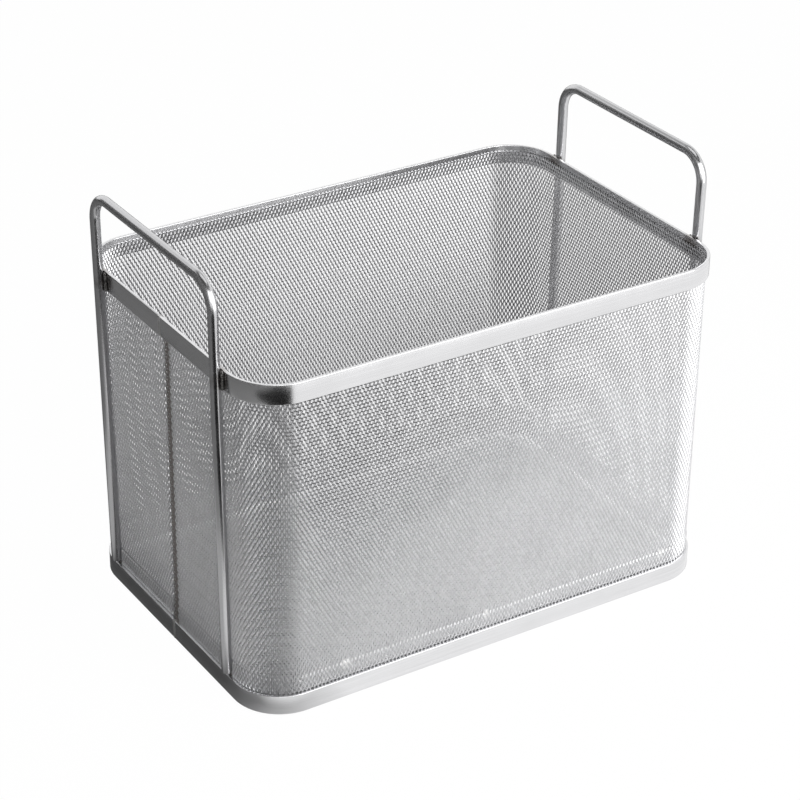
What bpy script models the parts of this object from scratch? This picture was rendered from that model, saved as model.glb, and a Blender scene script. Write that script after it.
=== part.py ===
"""A pasta cooking basket, modelled in metres with +Z up.

The wall is one sheet of expanded-metal mesh wrapped round and lapped at the left end.
The floor is a shallow mesh tray whose flange stands up inside the wall.
Both are modelled as coarse diamond nets, with the long way of the wall's diamonds upright.
A flat strip is bent round the rim and another round the base, each closed by a butt weld.
A bent rod handle is welded to each end.
The origin is on the ground under the middle of the basket, and +X runs along its length.
"""

import bisect
import math

import bmesh
import bpy
from mathutils import Matrix, Vector

# Outline that both strips follow, over their outer faces
BASKET_LENGTH = 0.420
BASKET_WIDTH = 0.280
BASKET_HEIGHT = 0.280
CORNER_RADIUS = 0.040

# Gap between pieces that touch on the real basket
CLEARANCE = 0.0003

# Flat strips round the rim and the base
RIM_STRIP_HEIGHT = 0.016
BASE_STRIP_HEIGHT = 0.016
STRIP_THICKNESS = 0.0025
STRIP_EDGE_ROUNDING = 0.0004
STRIP_CORNER_STEPS = 8

# Butt welds that close the strips, both on the left end
BUTT_WELD_WIDTH = 0.003
RIM_BUTT_Y = 0.002
BASE_BUTT_Y = -0.003

# Expanded-metal sheet of the wall, a net of diamonds with their long way upright
WALL_SHEET_THICKNESS = 0.001
WALL_TOP_BELOW_RIM = 0.005
WALL_BOTTOM = 0.002
WALL_STRAND = 0.0075
HALF_DIAMOND_WIDTH = 0.0212
HALF_DIAMOND_ROWS = 7
MESH_CORNER_STEPS = 3
SEAM_Y = -0.006

# Expanded-metal tray of the floor, a net of diamonds with a plain border and flange
FLOOR_SHEET_THICKNESS = 0.001
FLOOR_UNDERSIDE = 0.002
FLOOR_STRAND = 0.0075
FLOOR_BORDER = 0.009
FLOOR_DIAMOND_LENGTH = 0.078
FLOOR_DIAMOND_WIDTH = 0.0424
FLANGE_TOP = 0.031
FLANGE_BEND_RADIUS = 0.003
FLANGE_BEND_STEPS = 3
FLANGE_JOGGLE = 0.008

# Rod handles
ROD_DIAMETER = 0.008
LEG_SPACING = 0.184
BAR_ABOVE_RIM = 0.0655
BEND_RADIUS = 0.022
BEND_STEPS = 8
FOOT_ABOVE_BASE_STRIP = 0.006
ROD_ROUNDNESS = 4

# Weld beads
BEAD_RADIUS = 0.0013
BEAD_ROUNDING = 0.0005
FOOT_BEAD_WIDTH = 0.006
SPOT_WELD_RADIUS = 0.003
SPOT_WELD_THICKNESS = 0.0006
SPOT_WELD_BELOW_FLANGE_TOP = 0.0035
SPOT_WELD_PITCH = 0.155

# Sizes that follow from the ones above
HALF_X = BASKET_LENGTH / 2 - CORNER_RADIUS
HALF_Y = BASKET_WIDTH / 2 - CORNER_RADIUS
WALL_INSET = STRIP_THICKNESS + CLEARANCE
FLANGE_INSET = WALL_INSET + WALL_SHEET_THICKNESS + CLEARANCE
WALL_TOP = BASKET_HEIGHT - WALL_TOP_BELOW_RIM
ROW_HEIGHT = (WALL_TOP - WALL_BOTTOM) / HALF_DIAMOND_ROWS
RIM_STRIP_BOTTOM = BASKET_HEIGHT - RIM_STRIP_HEIGHT
ROD_RADIUS = ROD_DIAMETER / 2
LEG_Y = LEG_SPACING / 2
BAR_Z = BASKET_HEIGHT + BAR_ABOVE_RIM
FOOT_Z = BASE_STRIP_HEIGHT + FOOT_ABOVE_BASE_STRIP
LEG_X_AT_RIM = BASKET_LENGTH / 2 + CLEARANCE + ROD_RADIUS
LEG_X_AT_FOOT = BASKET_LENGTH / 2 - WALL_INSET + CLEARANCE + ROD_RADIUS

COLLECTION_NAME = "Pasta basket"
ENDS = (("left", -1), ("right", 1))
LEGS = (("front", -1), ("rear", 1))


def clear_scene():
    """Remove whatever objects the open file has."""
    for item in list(bpy.data.objects):
        bpy.data.objects.remove(item, do_unlink=True)


def make_collection(name):
    """Return a new collection linked to the scene."""
    collection = bpy.data.collections.new(name)
    bpy.context.scene.collection.children.link(collection)
    return collection


def make_material(name, colour, roughness, metallic=1.0):
    """Return a Principled material with one colour and roughness."""
    material = bpy.data.materials.new(name)
    material.use_nodes = True
    shader = material.node_tree.nodes["Principled BSDF"]
    shader.inputs["Base Color"].default_value = (*colour, 1.0)
    shader.inputs["Roughness"].default_value = roughness
    shader.inputs["Metallic"].default_value = metallic
    material.diffuse_color = (*colour, 1.0)
    return material


def strip_material():
    """Satin stainless steel of the flat strips."""
    return make_material("Satin strip steel", (0.72, 0.72, 0.73), 0.28)


def mesh_material():
    """Plain stainless steel of the expanded mesh."""
    return make_material("Expanded mesh steel", (0.62, 0.62, 0.63), 0.38)


def rod_material():
    """Drawn and polished stainless rod."""
    return make_material("Polished rod steel", (0.75, 0.75, 0.76), 0.18)


def ground_weld_material():
    """Butt weld ground flush with its strip."""
    return make_material("Ground weld steel", (0.80, 0.80, 0.80), 0.45)


def raw_weld_material():
    """Weld bead left as it was run, darkened by the heat."""
    return make_material("Raw weld steel", (0.20, 0.19, 0.19), 0.50)


def spot_weld_material():
    """Bright pressed face of a spot weld."""
    return make_material("Spot weld steel", (0.85, 0.85, 0.85), 0.30)


def add_object(name, data, collection, parent, location=(0, 0, 0), turn=0.0):
    """Link a mesh or curve as a named piece of the basket."""
    item = bpy.data.objects.new(name, data)
    item.location = location
    item.rotation_euler = (0, 0, turn)
    item.parent = parent
    collection.objects.link(item)
    return item


def finish_mesh(shape, name, smooth_angle=40):
    """Turn a bmesh into mesh data shaded smooth below the given angle."""
    data = bpy.data.meshes.new(name)
    shape.to_mesh(data)
    shape.free()
    data.shade_smooth()
    data.set_sharp_from_angle(angle=math.radians(smooth_angle))
    return data


def direction(angle):
    """Return the horizontal unit vector at an angle in degrees."""
    return Vector((math.cos(math.radians(angle)), math.sin(math.radians(angle)), 0))


def outline_stations(seam_front, seam_rear, corner_steps, side_step):
    """Return (base, outward) pairs round the outline, from one side of the left end's seam to the other.

    A base lies on the rectangle through the corner centres, so base + outward * (CORNER_RADIUS - inset)
    is a point of the outline set in by that much.
    """
    stations = []
    side_start = Vector((-HALF_X, seam_front, 0))
    corners = ((-HALF_X, -HALF_Y, 180), (HALF_X, -HALF_Y, 270), (HALF_X, HALF_Y, 360), (-HALF_X, HALF_Y, 450))
    for x, y, angle in corners:
        corner = Vector((x, y, 0))
        steps = max(1, round((corner - side_start).length / side_step))
        stations += [(side_start.lerp(corner, step / steps), direction(angle)) for step in range(steps)]
        stations += [(corner, direction(angle + 90 * step / corner_steps)) for step in range(corner_steps)]
        side_start = corner
    side_end = Vector((-HALF_X, seam_rear, 0))
    steps = max(1, round((side_end - side_start).length / side_step))
    stations += [(side_start.lerp(side_end, step / steps), direction(180)) for step in range(steps + 1)]
    return stations


def outline_points(stations, inset):
    """Return the points of the outline set in by a distance."""
    return [base + outward * (CORNER_RADIUS - inset) for base, outward in stations]


def wrapped_sheet(name, points, height):
    """Return an upright ribbon of the given height along a path, facing out."""
    shape = bmesh.new()
    verts = [shape.verts.new(point) for point in points]
    edges = [shape.edges.new(pair) for pair in zip(verts, verts[1:])]
    lifted = bmesh.ops.extrude_edge_only(shape, edges=edges)["geom"]
    raised = [item for item in lifted if isinstance(item, bmesh.types.BMVert)]
    bmesh.ops.translate(shape, verts=raised, vec=(0, 0, height))
    shape.normal_update()
    shape.faces.ensure_lookup_table()
    middle = shape.faces[0].calc_center_median()
    if shape.faces[0].normal.dot(middle) < 0:
        bmesh.ops.reverse_faces(shape, faces=shape.faces)
    return finish_mesh(shape, name)


def thicken(item, thickness):
    """Give a sheet its thickness, inward from the face that was drawn."""
    modifier = item.modifiers.new("Thickness", "SOLIDIFY")
    modifier.thickness = thickness
    modifier.offset = -1
    modifier.use_even_offset = True


def round_edges(item, width, segments=2, angle=60):
    """Round the sharp edges of a piece."""
    modifier = item.modifiers.new("Rounding", "BEVEL")
    modifier.width = width
    modifier.segments = segments
    modifier.limit_method = "ANGLE"
    modifier.angle_limit = math.radians(angle)


def add_strip(name, collection, parent, material, height, bottom, butt_y):
    """A flat strip bent round the outline, open at its butt weld."""
    half_gap = BUTT_WELD_WIDTH / 2 + CLEARANCE
    stations = outline_stations(butt_y - half_gap, butt_y + half_gap, STRIP_CORNER_STEPS, BASKET_LENGTH)
    data = wrapped_sheet(name, outline_points(stations, 0), height)
    data.materials.append(material)
    strip = add_object(name, data, collection, parent, (0, 0, bottom))
    thicken(strip, STRIP_THICKNESS)
    round_edges(strip, STRIP_EDGE_ROUNDING, segments=1)
    return strip


def add_butt_weld(name, collection, parent, material, height, bottom, butt_y):
    """The bead between the two ends of a strip, ground flush."""
    data = block_mesh(name, (STRIP_THICKNESS, BUTT_WELD_WIDTH, height))
    data.materials.append(material)
    x = -BASKET_LENGTH / 2 + STRIP_THICKNESS / 2
    weld = add_object(name, data, collection, parent, (x, butt_y, bottom + height / 2))
    round_edges(weld, STRIP_EDGE_ROUNDING, segments=1)
    return weld


def wall_stations():
    """Return the wall's stations, half a diamond apart, up to the start of the joggle behind the seam."""
    return outline_stations(SEAM_Y, SEAM_Y + HALF_DIAMOND_WIDTH, MESH_CORNER_STEPS, HALF_DIAMOND_WIDTH)


def wall_path():
    """Return the path of the wall's outer face: round the outline, then stepped in and lapped behind the seam."""
    points = outline_points(wall_stations(), WALL_INSET)
    step_in = WALL_SHEET_THICKNESS + CLEARANCE
    lap_start = Vector((points[0].x + step_in, SEAM_Y, 0))
    return points + [lap_start, lap_start - Vector((0, HALF_DIAMOND_WIDTH, 0))]


def path_lengths(path):
    """Return how far along a path each of its points lies."""
    lengths = [0.0]
    for before, after in zip(path, path[1:]):
        lengths.append(lengths[-1] + (after - before).length)
    return lengths


def diamond_net(columns, row_height, strand):
    """Return a flat net of diamonds in the XZ plane, edged by half diamonds and facing -Y.

    Columns are the X places of the crossings, half a diamond apart. A diamond that an edge of the
    sheet cuts has its tip on that edge. Each is inset by half a strand and its middle taken out.
    """
    last = len(columns) - 1
    shape = bmesh.new()
    crossings = {}
    for column, x in enumerate(columns):
        for row in range(HALF_DIAMOND_ROWS + 1):
            on_edge = column in (0, last) or row in (0, HALF_DIAMOND_ROWS)
            if (column + row) % 2 == 0 or on_edge:
                crossings[column, row] = shape.verts.new((x, 0, row * row_height))
    for column in range(last + 1):
        for row in range(HALF_DIAMOND_ROWS + 1):
            if (column + row) % 2 == 0:
                continue
            tips = ((column, row - 1), (column + 1, row), (column, row + 1), (column - 1, row))
            inside = [tip if tip in crossings else (column, row) for tip in tips]
            shape.faces.new([crossings[tip] for tip in dict.fromkeys(inside)])
    shape.normal_update()
    diamonds = list(shape.faces)
    bmesh.ops.inset_individual(shape, faces=diamonds, thickness=strand / 2, use_even_offset=True)
    bmesh.ops.delete(shape, geom=diamonds, context="FACES_ONLY")
    return shape


def bend_round(shape, path):
    """Bend a flat net round a path, so that X becomes the distance along it."""
    lengths = path_lengths(path)
    for vert in shape.verts:
        span = min(bisect.bisect_right(lengths, vert.co.x), len(path) - 1) - 1
        along = (vert.co.x - lengths[span]) / (lengths[span + 1] - lengths[span])
        vert.co = path[span].lerp(path[span + 1], along) + Vector((0, 0, vert.co.z))


def add_wall_mesh(collection, parent, material):
    """The wall sheet, a net wrapped round with its far end stepped in behind its near end."""
    path = wall_path()
    shape = diamond_net(path_lengths(path), ROW_HEIGHT, WALL_STRAND)
    bend_round(shape, path)
    data = finish_mesh(shape, "wall_mesh")
    data.materials.append(material)
    wall = add_object("wall_mesh", data, collection, parent, (0, 0, WALL_BOTTOM))
    thicken(wall, WALL_SHEET_THICKNESS)
    return wall


def prism(shape, points, bottom, height):
    """Add an upright prism with the given outline to a bmesh."""
    base = shape.faces.new([shape.verts.new((point.x, point.y, bottom)) for point in reversed(points)])
    lifted = bmesh.ops.extrude_face_region(shape, geom=[base], use_keep_orig=True)["geom"]
    raised = [item for item in lifted if isinstance(item, bmesh.types.BMVert)]
    bmesh.ops.translate(shape, verts=raised, vec=(0, 0, height))


def add_cutter(name, shape, cutters, parent):
    """Link a shape that is cut away and not part of the basket."""
    data = bpy.data.meshes.new(name)
    bmesh.ops.recalc_face_normals(shape, faces=shape.faces)
    shape.to_mesh(data)
    shape.free()
    cutter = bpy.data.objects.new(name, data)
    cutter.parent = parent
    cutter.hide_render = True
    cutter.display_type = "WIRE"
    cutters.objects.link(cutter)
    return cutter


def combine(item, cutter, operation):
    """Cut a piece by a cutter, or keep only what lies inside it."""
    modifier = item.modifiers.new("Cut", "BOOLEAN")
    modifier.object = cutter
    modifier.operation = operation
    modifier.solver = "EXACT"


def add_floor_diamonds(cutters, parent):
    """The openings of the floor: diamonds in a centred lattice, kept inside the plain border."""
    half_length = FLOOR_DIAMOND_LENGTH / 2
    half_width = FLOOR_DIAMOND_WIDTH / 2
    side_distance = half_length * half_width / math.hypot(half_length, half_width)
    open_share = 1 - FLOOR_STRAND / 2 / side_distance
    reach_x = math.ceil(BASKET_LENGTH / 2 / half_length)
    reach_y = math.ceil(BASKET_WIDTH / 2 / half_width)
    height = 4 * FLOOR_SHEET_THICKNESS
    shape = bmesh.new()
    for across in range(-reach_x, reach_x + 1):
        for up in range(-reach_y, reach_y + 1):
            if (across + up) % 2 == 0:
                middle = Vector((across * half_length, up * half_width, 0))
                tips = ((half_length, 0), (0, half_width), (-half_length, 0), (0, -half_width))
                points = [middle + Vector((x, y, 0)) * open_share for x, y in tips]
                prism(shape, points, FLOOR_UNDERSIDE - height / 3, height)
    diamonds = add_cutter("floor_diamonds", shape, cutters, parent)
    border = bmesh.new()
    inset = FLANGE_INSET + FLOOR_SHEET_THICKNESS + FLOOR_BORDER
    stations = outline_stations(0, HALF_DIAMOND_WIDTH, MESH_CORNER_STEPS, BASKET_LENGTH)
    prism(border, outline_points(stations[:-1], inset), FLOOR_UNDERSIDE - height, 3 * height)
    combine(diamonds, add_cutter("floor_border", border, cutters, parent), "INTERSECT")
    return diamonds


def add_floor_mesh(collection, cutters, parent, material):
    """The floor tray, with a flange turned up inside the wall and stepped in behind the wall's lap."""
    step_in = WALL_SHEET_THICKNESS + CLEARANCE
    lap_front = SEAM_Y - HALF_DIAMOND_WIDTH - CLEARANCE
    lap_rear = SEAM_Y + HALF_DIAMOND_WIDTH + CLEARANCE
    stations = outline_stations(
        lap_front - FLANGE_JOGGLE, lap_rear + FLANGE_JOGGLE, MESH_CORNER_STEPS, HALF_DIAMOND_WIDTH
    )
    points = outline_points(stations, FLANGE_INSET)
    points.append(points[-1] + Vector((step_in, -FLANGE_JOGGLE, 0)))
    points.append(points[0] + Vector((step_in, FLANGE_JOGGLE, 0)))
    shape = bmesh.new()
    bottom = shape.faces.new([shape.verts.new(point) for point in reversed(points)])
    lifted = bmesh.ops.extrude_edge_only(shape, edges=bottom.edges)["geom"]
    raised = [item for item in lifted if isinstance(item, bmesh.types.BMVert)]
    bmesh.ops.translate(shape, verts=raised, vec=(0, 0, FLANGE_TOP - FLOOR_UNDERSIDE))
    data = finish_mesh(shape, "floor_mesh")
    data.materials.append(material)
    floor = add_object("floor_mesh", data, collection, parent, (0, 0, FLOOR_UNDERSIDE))
    round_edges(floor, FLANGE_BEND_RADIUS, FLANGE_BEND_STEPS)
    thicken(floor, FLOOR_SHEET_THICKNESS)
    combine(floor, add_floor_diamonds(cutters, parent), "DIFFERENCE")
    return floor


def leg_x(z):
    """Return how far out a handle's centre line is at a height: legs lean in towards their feet."""
    lean = (LEG_X_AT_RIM - LEG_X_AT_FOOT) / (RIM_STRIP_BOTTOM - FOOT_Z)
    return LEG_X_AT_RIM + lean * (z - RIM_STRIP_BOTTOM)


def handle_path():
    """Return the centre line of the right handle, up one leg, along the bar and down the other."""
    bend_y = LEG_Y - BEND_RADIUS
    bend_z = BAR_Z - BEND_RADIUS
    path = [(-LEG_Y, FOOT_Z)]
    for side, first_angle in ((-1, 180), (1, 90)):
        for step in range(BEND_STEPS + 1):
            turn = direction(first_angle - 90 * step / BEND_STEPS) * BEND_RADIUS
            path.append((side * bend_y + turn.x, bend_z + turn.y))
    path.append((LEG_Y, FOOT_Z))
    return [Vector((leg_x(z), y, z)) for y, z in path]


def add_handle(name, collection, parent, material, turn):
    """A rod bent to an upside-down U, with its legs down the outside of the basket's end."""
    data = bpy.data.curves.new(name, "CURVE")
    data.dimensions = "3D"
    data.bevel_depth = ROD_RADIUS
    data.bevel_resolution = ROD_ROUNDNESS
    data.use_fill_caps = True
    path = handle_path()
    spline = data.splines.new("POLY")
    spline.points.add(len(path) - 1)
    for target, point in zip(spline.points, path):
        target.co = (*point, 1)
    spline.use_smooth = True
    data.materials.append(material)
    return add_object(name, data, collection, parent, turn=turn)


def bead_mesh(name, radius, height, rounding):
    """Return an upright round bead with softened ends, centred on its own origin."""
    shape = bmesh.new()
    bmesh.ops.create_cone(shape, cap_ends=True, segments=12, radius1=radius, radius2=radius, depth=height)
    ends = [edge for edge in shape.edges if edge.calc_face_angle() > math.radians(60)]
    bmesh.ops.bevel(shape, geom=ends, offset=rounding, segments=2, profile=0.5, affect="EDGES")
    return finish_mesh(shape, name)


def block_mesh(name, size):
    """Return a block centred on its own origin."""
    shape = bmesh.new()
    bmesh.ops.create_cube(shape, size=1)
    bmesh.ops.scale(shape, vec=size, verts=shape.verts)
    return finish_mesh(shape, name)


def disc_mesh(name, radius, thickness):
    """Return a disc centred on its own origin, facing along Y."""
    shape = bmesh.new()
    turn = Matrix.Rotation(math.radians(90), 4, "X")
    bmesh.ops.create_cone(
        shape, cap_ends=True, segments=16, radius1=radius, radius2=radius, depth=thickness, matrix=turn
    )
    return finish_mesh(shape, name)


def add_rim_welds(collection, parent, material):
    """Beads in the grooves between the rim strip and both sides of each handle leg."""
    seat_x = BASKET_LENGTH / 2 + CLEARANCE + BEAD_RADIUS
    middle_z = RIM_STRIP_BOTTOM + RIM_STRIP_HEIGHT / 2
    reach = ROD_RADIUS + CLEARANCE + BEAD_RADIUS
    beside = math.sqrt(reach ** 2 - (leg_x(middle_z) - seat_x) ** 2)
    data = bead_mesh("rim_weld", BEAD_RADIUS, RIM_STRIP_HEIGHT, BEAD_ROUNDING)
    data.materials.append(material)
    for end, end_sign in ENDS:
        for leg, leg_sign in LEGS:
            for place, place_sign in LEGS:
                y = leg_sign * LEG_Y + place_sign * beside
                name = f"{end}_{leg}_rim_weld_{place}"
                add_object(name, data, collection, parent, (end_sign * seat_x, y, middle_z))


def add_foot_welds(collection, parent, material):
    """Beads between the base strip's top edge and the foot of each handle leg."""
    thickness = STRIP_THICKNESS - CLEARANCE
    height = FOOT_ABOVE_BASE_STRIP - 2 * CLEARANCE
    x = BASKET_LENGTH / 2 - thickness / 2
    z = BASE_STRIP_HEIGHT + CLEARANCE + height / 2
    data = block_mesh("foot_weld", (thickness, FOOT_BEAD_WIDTH, height))
    data.materials.append(material)
    for end, end_sign in ENDS:
        for leg, leg_sign in LEGS:
            weld = add_object(f"{end}_{leg}_foot_weld", data, collection, parent, (end_sign * x, leg_sign * LEG_Y, z))
            round_edges(weld, BEAD_ROUNDING)


def strand_places(side_sign, z):
    """Return where the wall's rising strands pass a height on the front or the rear, as X values."""
    climb = (z - WALL_BOTTOM) / ROW_HEIGHT
    stations = wall_stations()
    places = []
    for column in range(0, len(stations) - 1, 2):
        (base, outward), (next_base, next_outward) = stations[column], stations[column + 1]
        if outward.y * side_sign > 0.999 and next_outward.y * side_sign > 0.999:
            places.append(base.lerp(next_base, climb).x)
    return places


def add_flange_spot_welds(collection, parent, material):
    """Pressed spots on strands of the front and the rear that join the wall to the floor's flange."""
    y = BASKET_WIDTH / 2 - WALL_INSET + CLEARANCE + SPOT_WELD_THICKNESS / 2
    z = FLANGE_TOP - SPOT_WELD_BELOW_FLANGE_TOP
    data = disc_mesh("spot_weld", SPOT_WELD_RADIUS, SPOT_WELD_THICKNESS)
    data.materials.append(material)
    for side, side_sign in LEGS:
        for number, place in enumerate(("left", "middle", "right")):
            wanted = (number - 1) * SPOT_WELD_PITCH
            x = min(strand_places(side_sign, z), key=lambda strand: abs(strand - wanted))
            add_object(f"{side}_spot_weld_{place}", data, collection, parent, (x, side_sign * y, z))


def build_basket():
    """Make every piece of the basket under one empty."""
    collection = make_collection(COLLECTION_NAME)
    frame = bpy.data.objects.new("basket_origin", None)
    collection.objects.link(frame)
    strip_steel = strip_material()
    mesh_steel = mesh_material()
    rod_steel = rod_material()
    ground_weld = ground_weld_material()
    raw_weld = raw_weld_material()
    add_strip("rim_band", collection, frame, strip_steel, RIM_STRIP_HEIGHT, RIM_STRIP_BOTTOM, RIM_BUTT_Y)
    add_strip("base_band", collection, frame, strip_steel, BASE_STRIP_HEIGHT, 0, BASE_BUTT_Y)
    add_butt_weld("rim_butt_weld", collection, frame, ground_weld, RIM_STRIP_HEIGHT, RIM_STRIP_BOTTOM, RIM_BUTT_Y)
    add_butt_weld("base_butt_weld", collection, frame, ground_weld, BASE_STRIP_HEIGHT, 0, BASE_BUTT_Y)
    add_wall_mesh(collection, frame, mesh_steel)
    add_floor_mesh(collection, make_collection("Cutters"), frame, mesh_steel)
    add_flange_spot_welds(collection, frame, spot_weld_material())
    for end, turn in (("right", 0), ("left", math.pi)):
        add_handle(f"{end}_handle", collection, frame, rod_steel, turn)
    add_rim_welds(collection, frame, raw_weld)
    add_foot_welds(collection, frame, raw_weld)


def main():
    """Clear the scene and build the basket in it."""
    clear_scene()
    build_basket()


main()
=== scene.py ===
"""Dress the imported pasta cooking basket: real expanded mesh, satin strips, polished handles and welds."""

import logging
import math
from dataclasses import dataclass
from enum import Enum
from functools import partial, reduce
from itertools import product
from typing import Callable, Iterator

import bpy
import numpy as np
from mathutils import Matrix, Vector


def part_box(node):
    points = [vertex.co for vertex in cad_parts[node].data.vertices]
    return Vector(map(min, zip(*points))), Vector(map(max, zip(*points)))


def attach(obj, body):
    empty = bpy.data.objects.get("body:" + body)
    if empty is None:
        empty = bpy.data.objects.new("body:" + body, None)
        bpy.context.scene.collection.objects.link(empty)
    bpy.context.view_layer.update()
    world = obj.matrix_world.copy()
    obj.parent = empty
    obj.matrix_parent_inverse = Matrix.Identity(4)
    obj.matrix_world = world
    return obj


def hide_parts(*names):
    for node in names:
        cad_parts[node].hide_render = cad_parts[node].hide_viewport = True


LOG = logging.getLogger("pasta_basket")

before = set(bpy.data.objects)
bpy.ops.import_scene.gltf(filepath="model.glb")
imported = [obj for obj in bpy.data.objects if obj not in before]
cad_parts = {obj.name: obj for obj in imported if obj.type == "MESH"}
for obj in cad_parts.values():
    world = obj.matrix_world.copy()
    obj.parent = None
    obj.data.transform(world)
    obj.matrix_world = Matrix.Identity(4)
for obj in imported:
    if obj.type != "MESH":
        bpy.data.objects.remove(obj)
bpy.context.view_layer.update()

BODY = "root"
ORIGIN = (0.0, 0.0, 0.0)
QUARTER = math.pi / 2.0
FRONT_AND_REAR = (("front", -1.0), ("rear", 1.0))
GRAIN_AXES = ("along_x", "along_y", "along_z")
CORNER_STEPS = 20
SPARE_ROWS = 2
SHEET_MERGE = 0.00001
ROD_MERGE = 0.000001
NEARLY_ZERO = 1e-9
SHARP_ANGLE = 50.0
CREASE_ANGLE = 35.0
BEAD_CREASE_ANGLE = 60.0
PATCH_CREASE_ANGLE = 50.0
MIX_INPUTS = (0, 6, 7)  # the Mix node's share and its two colours
MIX_RESULT = 2  # the Mix node's colour

Pair = tuple[float, float]
Triple = tuple[float, float, float]
Item = bpy.types.Object
Material = bpy.types.Material
Tree = bpy.types.NodeTree
Node = bpy.types.Node
Socket = bpy.types.NodeSocket
Inputs = dict[str | int, object]


class Slot(Enum):
    """Material slots of the record that the pieces take their finish from."""

    STRIP = "strip"
    MESH = "mesh"
    ROD = "rod"
    GROUND_WELD = "ground_weld"
    RAW_WELD = "raw_weld"
    SPOT_WELD = "spot_weld"


class Side(Enum):
    """The basket's two ends, with the sign of their X."""

    LEFT = -1
    RIGHT = 1

    @property
    def word(self) -> str:
        """The end's name as the nodes have it."""
        return self.name.lower()


@dataclass(frozen=True)
class BasketSizes:
    """Sizes that the pieces share, in metres, as the solids have them."""

    length: float = 0.420
    width: float = 0.280
    height: float = 0.280
    corner_radius: float = 0.040
    strip_height: float = 0.016
    strip_thickness: float = 0.0025
    rim_seam_y: float = 0.002
    base_seam_y: float = -0.003
    wall_bottom: float = 0.002
    wall_top: float = 0.275
    wall_lap: float = 0.0070
    flange_top: float = 0.031
    leg_spacing: float = 0.184
    bar_height: float = 0.3455
    foot_height: float = 0.022
    leg_x_at_foot: float = 0.2115
    leg_x_at_rim: float = 0.2143
    rod_diameter: float = 0.008
    bend_radius: float = 0.022

    @property
    def half_length(self) -> float:
        """X of the strips' outer face on the right end."""
        return self.length / 2.0

    @property
    def half_width(self) -> float:
        """Y of the strips' outer face at the rear."""
        return self.width / 2.0

    @property
    def rim_bottom(self) -> float:
        """Height of the rim strip's lower edge."""
        return self.height - self.strip_height

    def legs(self) -> Iterator[tuple[Side, str, float]]:
        """Go through the handles' four legs, each with its end, its name and its Y."""
        for side in Side:
            for leg, sign in FRONT_AND_REAR:
                yield side, f"{side.word}_{leg}", sign * self.leg_spacing / 2.0


@dataclass(frozen=True)
class Lattice:
    """Sizes of the expanded sheet, whose holes repeat every long way and every short way."""

    long_way: float = 0.00625
    short_way: float = 0.00332
    bond: float = 0.0012
    strand: float = 0.00105
    tilt: float = math.radians(30.0)
    gauge: float = 0.00085

    @property
    def reach(self) -> float:
        """Width of a strand as it is seen square on."""
        return self.strand * math.cos(self.tilt)


def select_all() -> None:
    """Select the whole of the open mesh."""
    bpy.ops.mesh.select_all(action="SELECT")


def face_outward() -> None:
    """Turn every face of the open mesh outward."""
    select_all()
    bpy.ops.mesh.normals_make_consistent(inside=False)


def leave_edit() -> None:
    """Go back from the open mesh to the objects."""
    bpy.ops.object.mode_set(mode="OBJECT")


def deselect_all() -> None:
    """Leave nothing selected and no mesh in edit mode."""
    if bpy.context.mode != "OBJECT":
        leave_edit()
    for item in bpy.context.selected_objects:
        item.select_set(False)


def make_active(item: Item) -> None:
    """Select one object alone and make it active."""
    deselect_all()
    item.select_set(True)
    bpy.context.view_layer.objects.active = item


def edit(item: Item) -> None:
    """Open an object in edit mode with its points ready to select."""
    make_active(item)
    bpy.ops.object.mode_set(mode="EDIT")
    bpy.ops.mesh.select_mode(type="VERT")


def select_points(item: Item, test: Callable[[Vector], bool]) -> None:
    """Select an object's points that pass a test, and leave it in edit mode.

    Args:
        item: The mesh object.
        test: Says of a point's place whether it is wanted.
    """
    edit(item)
    bpy.ops.mesh.select_all(action="DESELECT")
    leave_edit()
    for point in item.data.vertices:
        point.select = test(point.co)
    bpy.ops.object.mode_set(mode="EDIT")


def start_shape(primitive: Callable, **sizes: object) -> Item:
    """Add a primitive at the origin and open it in edit mode with all its points selected.

    Args:
        primitive: The operator that adds it.
        **sizes: The operator's sizes, by name.

    Returns:
        The new object.
    """
    deselect_all()
    primitive(location=ORIGIN, **sizes)
    item = bpy.context.view_layer.objects.active
    edit(item)
    select_all()
    return item


def start_disc(roundness: int, radius: float, fill: str = "NGON") -> Item:
    """Start a shape from a disc, or from a bare circle."""
    return start_shape(bpy.ops.mesh.primitive_circle_add, vertices=roundness, radius=radius, fill_type=fill)


def extrude(*step: float) -> None:
    """Extrude what is selected by x, y and z."""
    bpy.ops.mesh.extrude_region_move(TRANSFORM_OT_translate={"value": step})


def cut_away(place: Triple, outward: Triple) -> None:
    """Cut the open mesh by a plane and clear what lies beyond it."""
    select_all()
    bpy.ops.mesh.bisect(plane_co=place, plane_no=outward, clear_outer=True)


def close_edit(name: str) -> Item:
    """Turn every face outward, leave edit mode and name the active object and its mesh."""
    face_outward()
    leave_edit()
    item = bpy.context.view_layer.objects.active
    item.name = name
    item.data.name = name
    return item


def apply_modifiers(item: Item) -> None:
    """Apply every modifier of an object in order."""
    make_active(item)
    for modifier in list(item.modifiers):
        bpy.ops.object.modifier_apply(modifier=modifier.name)


def shade(item: Item, crease: float) -> None:
    """Shade an object smooth, apart from edges sharper than an angle in degrees."""
    make_active(item)
    bpy.ops.object.shade_smooth_by_angle(angle=math.radians(crease))


def round_edges(item: Item, width: float, segments: int) -> None:
    """Round an object's sharp edges and shade it smooth between them.

    Args:
        item: The mesh object.
        width: How far the rounding reaches from the edge.
        segments: Steps of the rounding.
    """
    edges = item.modifiers.new("edge_rounding", "BEVEL")
    edges.width = width
    edges.segments = segments
    edges.limit_method = "ANGLE"
    edges.angle_limit = math.radians(SHARP_ANGLE)
    apply_modifiers(item)
    shade(item, CREASE_ANGLE)


def copy_piece(item: Item, name: str) -> Item:
    """Copy an object with a mesh of its own."""
    twin = item.copy()
    twin.data = item.data.copy()
    twin.name = name
    twin.data.name = name
    bpy.context.scene.collection.objects.link(twin)
    return twin


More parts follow.
